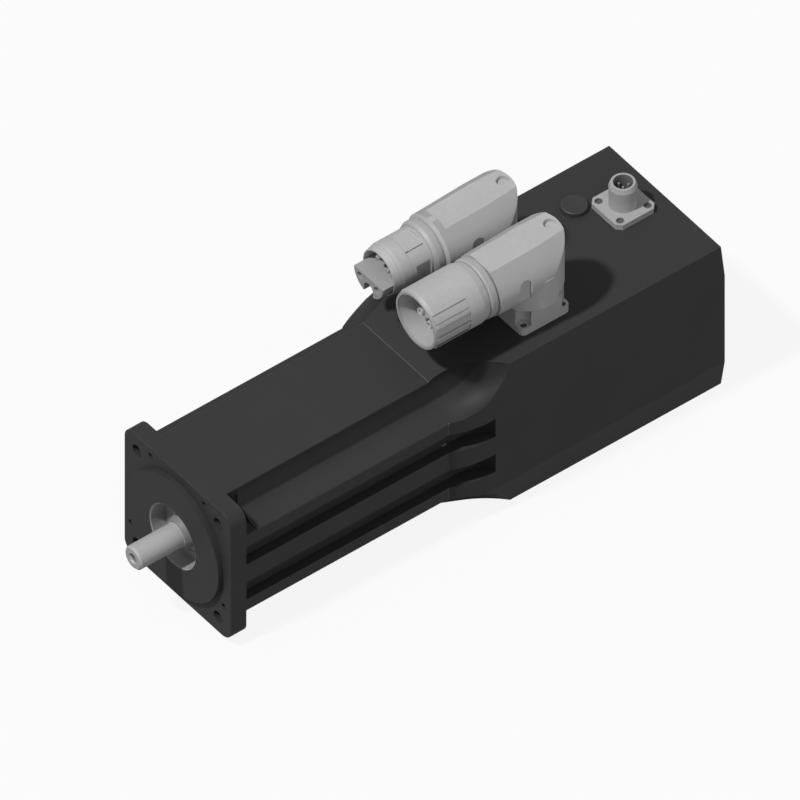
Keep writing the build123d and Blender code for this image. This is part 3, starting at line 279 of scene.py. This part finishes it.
class Surface:
    """One procedural material, put together from a few layers."""

    def __init__(self, name):
        self.material = bpy.data.materials.new(name)
        self.material.use_nodes = True
        self.tree = self.material.node_tree
        self.shader = self.tree.nodes["Principled BSDF"]
        self.coords = self.tree.nodes.new("ShaderNodeTexCoord").outputs["Object"]
        self.bump_from = None

    def node(self, kind, **values):
        """New node with its settings."""
        made = self.tree.nodes.new(kind)
        for key, value in values.items():
            setattr(made, key, value)
        return made

    def link(self, source, target):
        """Join an output socket to an input socket."""
        self.tree.links.new(source, target)

    def noise(self, scale, detail=3.0, roughness=0.5, stretch=(1.0, 1.0, 1.0)):
        """Noise between 0 and 1, stretched along the axes."""
        mapping = self.node("ShaderNodeMapping")
        mapping.inputs["Scale"].default_value = stretch
        self.link(self.coords, mapping.inputs["Vector"])
        noise = self.node("ShaderNodeTexNoise")
        noise.inputs["Scale"].default_value = scale
        noise.inputs["Detail"].default_value = detail
        noise.inputs["Roughness"].default_value = roughness
        self.link(mapping.outputs[0], noise.inputs["Vector"])
        return noise.outputs["Fac"]

    def ramp(self, source, low, high, start=0.3, end=0.7):
        """Colour that runs from low to high as the source goes from start to end."""
        ramp = self.node("ShaderNodeValToRGB")
        ramp.color_ramp.elements[0].position = start
        ramp.color_ramp.elements[1].position = end
        ramp.color_ramp.elements[0].color = (*low, 1.0)
        ramp.color_ramp.elements[1].color = (*high, 1.0)
        self.link(source, ramp.inputs[0])
        return ramp.outputs["Color"]

    def greys(self, source, value, low, high, start=0.3, end=0.7, tint=0.0):
        """Grey that runs between two shares of a value as the source goes from start to end."""
        return self.ramp(source, grey(value * low, tint), grey(value * high, tint), start, end)

    def mix(self, factor, first, second):
        """Blend of two colours by a factor socket."""
        mix = self.node("ShaderNodeMix", data_type="RGBA")
        self.link(factor, mix.inputs["Factor"])
        self.link(first, mix.inputs[COLOUR_FIRST])
        self.link(second, mix.inputs[COLOUR_SECOND])
        return mix.outputs[COLOUR_RESULT]

    def share(self, amount, first, second, blend="MIX"):
        """Blend of two colours by a fixed amount."""
        mix = self.node("ShaderNodeMix", data_type="RGBA", blend_type=blend)
        mix.inputs["Factor"].default_value = amount
        self.link(first, mix.inputs[COLOUR_FIRST])
        self.link(second, mix.inputs[COLOUR_SECOND])
        return mix.outputs[COLOUR_RESULT]

    def rough(self, source, low, high):
        """Roughness that runs between two values."""
        spread = self.node("ShaderNodeMapRange")
        spread.inputs["To Min"].default_value = low
        spread.inputs["To Max"].default_value = high
        self.link(source, spread.inputs["Value"])
        self.link(spread.outputs[0], self.shader.inputs["Roughness"])

    def math(self, operation, first, second):
        """Result of an operation on two sockets or numbers."""
        step = self.node("ShaderNodeMath", operation=operation)
        for index, value in enumerate((first, second)):
            if isinstance(value, float):
                step.inputs[index].default_value = value
            else:
                self.link(value, step.inputs[index])
        return step.outputs[0]

    def size(self, socket):
        """Socket's value without its sign."""
        return self.math("ABSOLUTE", socket, 0.0)

    def both(self, first, second):
        """1 where two masks are 1."""
        return self.math("MULTIPLY", first, second)

    def above(self, socket, limit):
        """1 where a socket is greater than a limit."""
        return self.math("GREATER_THAN", socket, limit)

    def below(self, socket, limit):
        """1 where a socket is less than a limit."""
        return self.math("LESS_THAN", socket, limit)

    def near(self, socket, place, half):
        """1 where a socket lies within half a width of a place."""
        return self.below(self.size(self.math("SUBTRACT", socket, place)), half)

    def square(self, first, second):
        """Squared distance from an axis, from the two ways across it."""
        return self.math("ADD", self.math("MULTIPLY", first, first), self.math("MULTIPLY", second, second))

    def facing(self):
        """X, Y and Z sockets of the way that the face looks."""
        split = self.node("ShaderNodeSeparateXYZ")
        self.link(self.node("ShaderNodeTexCoord").outputs["Normal"], split.inputs[0])
        return split.outputs

    def rgb(self, colour):
        """Plain colour socket."""
        made = self.node("ShaderNodeRGB")
        made.outputs[0].default_value = (*colour, 1.0)
        return made.outputs[0]

    def place(self):
        """X, Y and Z sockets of the point, in metres."""
        split = self.node("ShaderNodeSeparateXYZ")
        self.link(self.coords, split.inputs[0])
        return split.outputs

    def bump(self, source, strength, distance):
        """Fine relief on top of what is there."""
        bump = self.node("ShaderNodeBump")
        bump.inputs["Strength"].default_value = strength
        bump.inputs["Distance"].default_value = distance
        self.link(source, bump.inputs["Height"])
        if self.bump_from:
            self.link(self.bump_from, bump.inputs["Normal"])
        self.bump_from = bump.outputs[0]
        self.link(self.bump_from, self.shader.inputs["Normal"])

    def flat_top(self):
        """Keep faces that look straight up as flat as they are, with no shading taken from beside."""
        shape = self.node("ShaderNodeNewGeometry")
        split = self.node("ShaderNodeSeparateXYZ")
        self.link(shape.outputs["True Normal"], split.inputs[0])
        level = self.above(split.outputs["Z"], LEVEL_FACE)
        mix = self.node("ShaderNodeMix", data_type="VECTOR")
        self.link(level, mix.inputs["Factor"])
        self.link(shape.outputs["Normal"], mix.inputs[VECTOR_FIRST])
        self.link(shape.outputs["True Normal"], mix.inputs[VECTOR_SECOND])
        self.bump_from = mix.outputs[VECTOR_RESULT]
        return level

    def lean_light_shade(self, value):
        """Painted light on upright faces that turns to painted shade on those that lean just off level."""
        shape = self.node("ShaderNodeNewGeometry")
        split = self.node("ShaderNodeSeparateXYZ")
        self.link(shape.outputs["Normal"], split.inputs[0])
        return self.greys(split.outputs["Z"], value, UPRIGHT_PAINTED_LIGHT, LEANING_PAINTED_SHADE, UPRIGHT_END, LEANING_START)

    def edge(self, radius):
        """1 on sharp edges and 0 on flat faces."""
        bevel = self.node("ShaderNodeBevel", samples=EDGE_SAMPLES)
        bevel.inputs["Radius"].default_value = radius
        flat = self.node("ShaderNodeNewGeometry")
        dot = self.node("ShaderNodeVectorMath", operation="DOT_PRODUCT")
        self.link(bevel.outputs[0], dot.inputs[0])
        self.link(flat.outputs["Normal"], dot.inputs[1])
        spread = self.node("ShaderNodeMapRange")
        spread.inputs["From Min"].default_value = EDGE_FLAT
        spread.inputs["From Max"].default_value = EDGE_SHARP
        self.link(dot.outputs["Value"], spread.inputs["Value"])
        return spread.outputs[0]

    def colour(self, source):
        """Colour of the surface from a socket."""
        self.link(source, self.shader.inputs["Base Color"])

    def set(self, **values):
        """Fixed values of the shader, with _ for a space."""
        for key, value in values.items():
            self.shader.inputs[key.replace("_", " ")].default_value = value


def grey(value, tint=0.0):
    """Grey with a slight cool tint."""
    return (value * (1.0 - tint), value, value * (1.0 + tint))


def seam_mask(s):
    """1 on the thin line where motor body and drive housing meet on the outer plates."""
    place = s.place()
    side, height = s.size(place["X"]), s.size(place["Z"])
    line = s.near(place["Y"], SEAM_Y, SEAM_HALF)
    on_top = s.above(height, PLATE_FACE)
    on_side = s.both(s.above(side, PLATE_FACE), s.above(height, SIDE_RIB))
    return s.both(line, s.math("MAXIMUM", on_top, on_side))


def channel_shade(s):
    """Painted shade in the corner channels, deepest on their upright walls, and painted shade damping the
    highlight on the flare into the box.
    """
    place, facing = s.place(), s.facing()
    inside = s.both(s.below(s.size(place["X"]), CHANNEL_SIDE), s.above(s.size(place["Z"]), CHANNEL_LOW))
    wall = s.node("ShaderNodeValToRGB")
    wall.color_ramp.elements[0].position = CHANNEL_TURN - CHANNEL_SPREAD
    wall.color_ramp.elements[0].color = (*WHITE, 1.0)
    wall.color_ramp.elements[1].position = CHANNEL_TURN + CHANNEL_SPREAD
    wall.color_ramp.elements[1].color = (*CHANNEL_WALL_SHADE, 1.0)
    end = wall.color_ramp.elements.new(1.0)
    end.color = (*CHANNEL_UPRIGHT_SHADE, 1.0)
    s.link(s.size(facing["X"]), wall.inputs[0])
    plain = s.rgb(WHITE)
    tone = s.mix(inside, plain, wall.outputs["Color"])
    flare = s.both(s.above(place["Y"], SEAM_Y), s.below(place["Y"], FLARE_END))
    ahead = s.math("MULTIPLY", facing["Y"], -1.0)
    end_tone = s.mix(flare, plain, s.ramp(ahead, WHITE, FLARE_PAINTED_SHADE, start=0.15, end=0.6))
    return s.share(1.0, tone, end_tone, "MULTIPLY")


def recess_mask(s):
    """1 inside the machined recess round the shaft, with its rim."""
    place = s.place()
    return s.below(s.square(place["X"], place["Z"]), RECESS_RADIUS ** 2)


def coat(name, value, wear, bare=None, bare_value=0.3, shade=None):
    """Satin powder coat with a very fine grain, worn edges, an optional bare area and optional painted
    shade.
    """
    s = Surface(name)
    cloud = s.noise(scale=9.0, detail=4.0, roughness=0.6)
    tone = s.greys(cloud, value, low=0.92, high=1.08)
    fine = s.noise(scale=2600.0, detail=2.0, roughness=0.6)
    speck = s.greys(fine, value, low=0.85, high=1.15, start=0.35, end=0.65)
    blend = s.share(COAT_SPECK, tone, speck)
    patch = s.ramp(s.noise(scale=60.0, detail=5.0, roughness=0.7), BLACK, WHITE, start=0.48, end=0.62)
    worn = s.math("MULTIPLY", s.both(s.edge(COAT_EDGE), patch), wear)
    painted = s.mix(worn, blend, s.rgb(grey(value * COAT_WORN)))
    if bare:
        metal_tone = s.greys(s.noise(scale=900.0), bare_value, low=0.9, high=1.1)
        painted = s.mix(bare(s), painted, metal_tone)
    # Painted shade multiplied into the coat
    if shade:
        painted = s.share(1.0, painted, shade(s), "MULTIPLY")
    s.colour(painted)
    s.rough(s.noise(scale=30.0, detail=4.0, roughness=0.6), low=0.5, high=0.64)
    s.bump(fine, strength=0.14, distance=0.00005)
    s.bump(s.noise(scale=420.0), strength=0.06, distance=0.0001)
    s.set(Specular_IOR_Level=0.28)
    return s.material


def nose_shade_lines(s):
    """1 on the two fine lines round the left connector's barrel, where dark painted shade marks its small
    steps.
    """
    y = s.place()["Y"]
    return s.math("MAXIMUM", s.near(y, NOSE_EDGE, LINE_HALF), s.near(y, WINDOW_FRONT, LINE_HALF))


def slit_end_shade(s):
    """1 where painted shade draws the front end of the slit beside the left barrel's upper flat."""
    place = s.place()
    slit = s.near(place["X"], SLIT_X, 2 * LINE_HALF)
    slit = s.both(slit, s.above(place["Y"], WINDOW_FRONT))
    slit = s.both(slit, s.below(place["Y"], WINDOW_SLIT))
    return s.both(slit, s.above(place["Z"], LEFT_AXIS[1]))


def tongue_front_light(s):
    """1 on the front face of the left connector's tongue, which is painted lighter as light falling on it.
    """
    return s.below(s.place()["Y"], TONGUE_FACE)


def sensor_bore_shade(s):
    """1 inside the small sensor connector and in its four screw holes, where painted shade darkens them."""
    place = s.place()
    across = s.math("SUBTRACT", place["X"], SENSOR_X)
    along = s.math("SUBTRACT", place["Y"], SENSOR_Y)
    inside = s.below(s.square(across, along), SENSOR_BORE ** 2)
    across = s.math("SUBTRACT", s.size(across), SENSOR_HOLE)
    along = s.math("SUBTRACT", s.size(along), SENSOR_HOLE)
    return s.math("MAXIMUM", inside, s.below(s.square(across, along), SENSOR_SCREW ** 2))


def shaft_collar_shade(s):
    """1 on the wider part of the shaft inside the flange's recess, where painted shade darkens it."""
    place = s.place()
    return s.above(s.square(place["X"], place["Z"]), SHAFT_RADIUS ** 2)


def centre_hole_shade(s):
    """1 inside the shaft's centre hole and its countersink, where painted shade darkens them."""
    place = s.place()
    return s.below(s.square(place["X"], place["Z"]), CENTRE_HOLE ** 2)


def rear_ring_shade(s):
    """1 on the ring behind the left barrel, painted darker as shade that damps its highlight."""
    return s.above(s.place()["Y"], RING_FRONT)


def panel_ledge_shade(s):
    """1 on the narrow ledges beside the panels of the coupling nut, which painted shade darkens."""
    place, facing = s.place(), s.facing()
    out_x = s.math("SUBTRACT", place["X"], RIGHT_AXIS[0])
    out_z = s.math("SUBTRACT", place["Z"], RIGHT_AXIS[1])
    reach = s.math("SQRT", s.square(out_x, out_z), 0.0)
    first = s.math("MULTIPLY", facing["X"], out_z)
    second = s.math("MULTIPLY", facing["Z"], out_x)
    turned = s.math("DIVIDE", s.size(s.math("SUBTRACT", first, second)), reach)
    return s.both(s.above(turned, LEDGE_TURN), s.above(reach, NUT_WALL))


def nut_chamfer_shade(s):
    """1 on the coupling nut's front chamfer, painted darker as shade that damps its highlight."""
    y = s.place()["Y"]
    return s.both(s.above(y, NUT_FACE), s.below(y, NUT_CHAMFER))


def plated(name, value, metallic, crisp_light_shade=False, light_shade_marks=(), edge_light_shade=1.25):
    """Satin nickel plate over cast or turned metal, with faint marks, edges painted lighter as a highlight
    (darker as painted shade when the edge value is below 1), optional painted light and shade by how faces
    lean, and masked areas of painted light and shade in other greys.
    """
    s = Surface(name)
    level = s.flat_top() if crisp_light_shade else None
    slow = s.noise(scale=35.0, detail=4.0, roughness=0.6)
    tone = s.greys(slow, value, low=0.93, high=1.05, tint=PLATE_TINT)
    marks = s.noise(scale=500.0, detail=4.0, roughness=0.65)
    fine = s.greys(marks, value, low=0.9, high=1.07)
    blend = s.share(PLATE_MARKS, tone, fine)
    # Painted highlight on edges; an edge value below 1 paints shade there instead
    bright = s.rgb(grey(value * edge_light_shade))
    tone = s.mix(s.math("MULTIPLY", s.edge(PLATE_EDGE), EDGE_SHARE), blend, bright)
    if crisp_light_shade:
        # Painted light and shade by how far faces lean, beside the crisp flats
        tone = s.mix(level, s.lean_light_shade(value), tone)
    # Masked areas painted in other greys as light and shade
    for mask, shade in light_shade_marks:
        tone = s.mix(mask(s), tone, s.rgb(grey(shade)))
    s.colour(tone)
    s.rough(marks, low=0.5, high=0.62)
    s.bump(marks, strength=0.08, distance=0.00003)
    s.set(Metallic=metallic, Specular_IOR_Level=0.3)
    return s.material


def plastic(name, colour, roughness=0.5):
    """Moulded plastic with a fine spark-eroded grain."""
    s = Surface(name)
    low = tuple(part * 0.85 for part in colour)
    high = tuple(part * 1.15 for part in colour)
    s.colour(s.ramp(s.noise(scale=120.0, detail=4.0, roughness=0.6), low, high))
    s.rough(s.noise(scale=800.0, detail=2.0), roughness - ROUGH_SPREAD, roughness + ROUGH_SPREAD)
    s.bump(s.noise(scale=3000.0, detail=2.0), strength=0.12, distance=0.00005)
    return s.material


def layered(name, value):
    """Stacked sheet steel: fine lines across the stack."""
    s = Surface(name)
    lines = s.noise(scale=1.0, detail=1.0, stretch=(1.0, 2200.0, 1.0))
    s.colour(s.greys(lines, value, low=0.7, high=1.2, start=0.35, end=0.65))
    s.rough(s.noise(scale=90.0), low=0.4, high=0.6)
    s.bump(lines, strength=0.3, distance=0.00008)
    s.set(Metallic=0.8)
    return s.material


def circuit(name):
    """Green solder resist with copper tracks under it."""
    s = Surface(name)
    grid = s.node("ShaderNodeTexBrick", offset=0.5, squash=1.0)
    grid.inputs["Scale"].default_value = 160.0
    grid.inputs["Color1"].default_value = (0.018, 0.12, 0.05, 1.0)
    grid.inputs["Color2"].default_value = (0.03, 0.17, 0.07, 1.0)
    grid.inputs["Mortar"].default_value = (0.05, 0.24, 0.1, 1.0)
    grid.inputs["Mortar Size"].default_value = 0.06
    s.link(s.coords, grid.inputs["Vector"])
    s.colour(grid.outputs["Color"])
    s.rough(s.noise(scale=400.0), low=0.32, high=0.45)
    s.bump(grid.outputs["Fac"], strength=0.2, distance=0.00004)
    return s.material


def metal(name, colour, low_rough, high_rough, stretch=(1.0, 1.0, 1.0), metallic=1.0):
    """Bare or enamelled metal with fine directional marks."""
    s = Surface(name)
    marks = s.noise(scale=600.0, detail=4.0, roughness=0.6, stretch=stretch)
    low = tuple(part * 0.86 for part in colour)
    high = tuple(min(1.0, part * 1.1) for part in colour)
    s.colour(s.ramp(marks, low, high))
    s.rough(marks, low_rough, high_rough)
    s.bump(marks, strength=0.1, distance=0.00003)
    s.set(Metallic=metallic)
    return s.material


def screw(name, value):
    """Dulled screw steel of one grey."""
    return metal(name, grey(value), low_rough=0.45, high_rough=0.6, metallic=SCREW_METAL)


def pin_profile(front):
    """Section of a pin with a tapered tip."""
    tip = ((0.0, front), (PIN_TIP_RADIUS, front), (PIN_RADIUS, front + PIN_TAPER))
    return tip + ((PIN_RADIUS, PIN_BACK), (0.0, PIN_BACK))


def turned_pieces(name, pieces):
    """One mesh of turned pieces along Y, each a section and the place of its axis."""
    mesh = bpy.data.meshes.new(name)
    form = bmesh.new()
    for profile, (x, z) in pieces:
        rings = []
        for radius, y in profile:
            ring = []
            for step in range(ROUND_SIDES):
                turn = 2 * math.pi * step / ROUND_SIDES
                ring.append(form.verts.new((x + radius * math.cos(turn), y, z + radius * math.sin(turn))))
            rings.append(ring)
        for first, second in zip(rings, rings[1:] + rings[:1]):
            for step in range(ROUND_SIDES):
                after = (step + 1) % ROUND_SIDES
                form.faces.new((first[step], first[after], second[after], second[step]))
    bmesh.ops.remove_doubles(form, verts=form.verts, dist=WELD_DISTANCE)
    bmesh.ops.recalc_face_normals(form, faces=form.faces)
    form.to_mesh(mesh)
    form.free()
    made = bpy.data.objects.new(name, mesh)
    bpy.context.scene.collection.objects.link(made)
    return made


def on_ring(axis, radius, angles):
    """Places on a circle round an axis along Y."""
    places = []
    for degrees in angles:
        turn = math.radians(degrees)
        places.append((axis[0] + radius * math.cos(turn), axis[1] + radius * math.sin(turn)))
    return places


def add_contacts(sleeve_finish):
    """Longer sleeves in the right mouth, and the left pins as they show in the photograph."""
    places = [RIGHT_AXIS] + on_ring(RIGHT_AXIS, SLEEVE_RING, SLEEVE_ANGLES)
    sleeves = turned_pieces("right_insert_sleeves", [(SLEEVE_PROFILE, place) for place in places])
    sleeves.data.materials.append(sleeve_finish)
    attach(sleeves, "right_connector")
    long, short = pin_profile(LONG_PIN_FRONT), pin_profile(SHORT_PIN_FRONT)
    pieces = [(long, place) for place in on_ring(LEFT_AXIS, PIN_RING, LONG_PIN_ANGLES)]
    pieces += [(short, place) for place in on_ring(LEFT_AXIS, PIN_RING, SHORT_PIN_ANGLES)]
    pins = turned_pieces("left_contact_pins", pieces)
    pins.data.materials.append(plated("pin_plate", PIN_GREY, 0.0))
    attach(pins, "left_connector")
    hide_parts("left_pins")


add_camera()
add_world()
add_sun("key", KEY_DIRECTION, KEY_STRENGTH, KEY_SOFTNESS)
add_sun("fill", FILL_DIRECTION, FILL_STRENGTH, FILL_SOFTNESS)
add_floor(cad_low_high[0][2])

finishes = {
    "dark_coat": coat("dark_coat", COAT_GREY, COAT_WEAR),
    "plated_metal": plated("plated_metal", PLATE_GREY, PLATE_METAL),
    "bright_steel": metal("bright_steel", (0.4, 0.4, 0.405), low_rough=0.45, high_rough=0.6, metallic=0.5),
    "electrical_steel": layered("electrical_steel", 0.3),
    "bare_aluminium": metal("bare_aluminium", (0.6, 0.6, 0.61), low_rough=0.35, high_rough=0.5),
    "dark_screw": metal("dark_screw", (0.05, 0.05, 0.055), low_rough=0.4, high_rough=0.55, metallic=0.4),
    "copper_wire": metal(
        "copper_wire", (0.62, 0.26, 0.13), low_rough=0.3, high_rough=0.45, stretch=(1.0, 1.0, 9.0)),
    "magnet": metal("magnet", (0.4, 0.4, 0.42), low_rough=0.25, high_rough=0.4),
    "brass_cage": metal("brass_cage", (0.7, 0.5, 0.22), low_rough=0.3, high_rough=0.45),
    "gold_contact": metal("gold_contact", (0.5, 0.49, 0.465), low_rough=0.35, high_rough=0.45, metallic=0.5),
    "dark_plastic": plastic("dark_plastic", (0.04, 0.04, 0.042)),
    "light_plastic": plastic("light_plastic", (0.5, 0.5, 0.5), roughness=0.55),
    "circuit_board": circuit("circuit_board"),
    "red_insulation": plastic("red_insulation", (0.4, 0.035, 0.03), roughness=0.45),
    "rubber_seal": plastic("rubber_seal", (0.03, 0.03, 0.03), roughness=0.7),
}
tongue_painted_light = ((tongue_front_light, TONGUE_FRONT_PAINTED_LIGHT),)
barrel_painted_shade = ((rear_ring_shade, RING_PAINTED_SHADE), (nose_shade_lines, LINE_PAINTED_SHADE), (slit_end_shade, SLIT_PAINTED_SHADE))
nut_painted_shade = ((nut_chamfer_shade, CHAMFER_PAINTED_SHADE), (panel_ledge_shade, LEDGE_PAINTED_SHADE))
shaft_painted_shade = ((shaft_collar_shade, COLLAR_PAINTED_SHADE), (centre_hole_shade, CENTRE_PAINTED_SHADE))
socket_painted_shade = ((sensor_bore_shade, SOCKET_PAINTED_SHADE),)
special = {
    "front_flange": coat("flange_coat", COAT_GREY, COAT_WEAR, recess_mask, BARE_PLATE),
    "motor_body": coat("body_coat", COAT_GREY, COAT_WEAR, seam_mask, SEAM_GREY, channel_shade),
    "drive_housing": coat("housing_coat", COAT_GREY, COAT_WEAR, seam_mask, SEAM_GREY, channel_shade),
    "base_screws": screw("base_screw", 0.12),
    "left_elbow": plated("left_elbow_plate", PLATE_GREY, PLATE_METAL, crisp_light_shade=True),
    "right_elbow": plated("right_elbow_plate", PLATE_GREY, PLATE_METAL, crisp_light_shade=True),
    "left_insert": plated("tongue_plastic", TONGUE_GREY, 0.0, light_shade_marks=tongue_painted_light, edge_light_shade=1.0),
    "left_barrel": plated("left_barrel_plate", PLATE_GREY, PLATE_METAL, light_shade_marks=barrel_painted_shade),
    # Darker grey on the right barrel: painted shade that damps the highlight on its collar
    "right_barrel": plated("right_barrel_plate", BARREL_GREY, PLATE_METAL),
    "right_coupling_nut": plated("nut_plate", PLATE_GREY, PLATE_METAL, light_shade_marks=nut_painted_shade, edge_light_shade=0.6),
    "motor_shaft": plated("shaft_steel", SHAFT_GREY, PLATE_METAL, light_shade_marks=shaft_painted_shade),
    "sensor_connector": plated(
        "sensor_plate", BARREL_GREY, PLATE_METAL, light_shade_marks=socket_painted_shade, edge_light_shade=1.0),
    "sensor_connector_screws": screw("sensor_screw", 0.16),
}
for part in frame["record"]["subparts"]:
    mesh = nodes[part["node"]].data
    mesh.materials.clear()
    mesh.materials.append(special.get(part["node"]) or finishes[part["material_slot"]])

add_contacts(finishes["light_plastic"])

bpy.context.scene.view_settings.view_transform = "Standard"
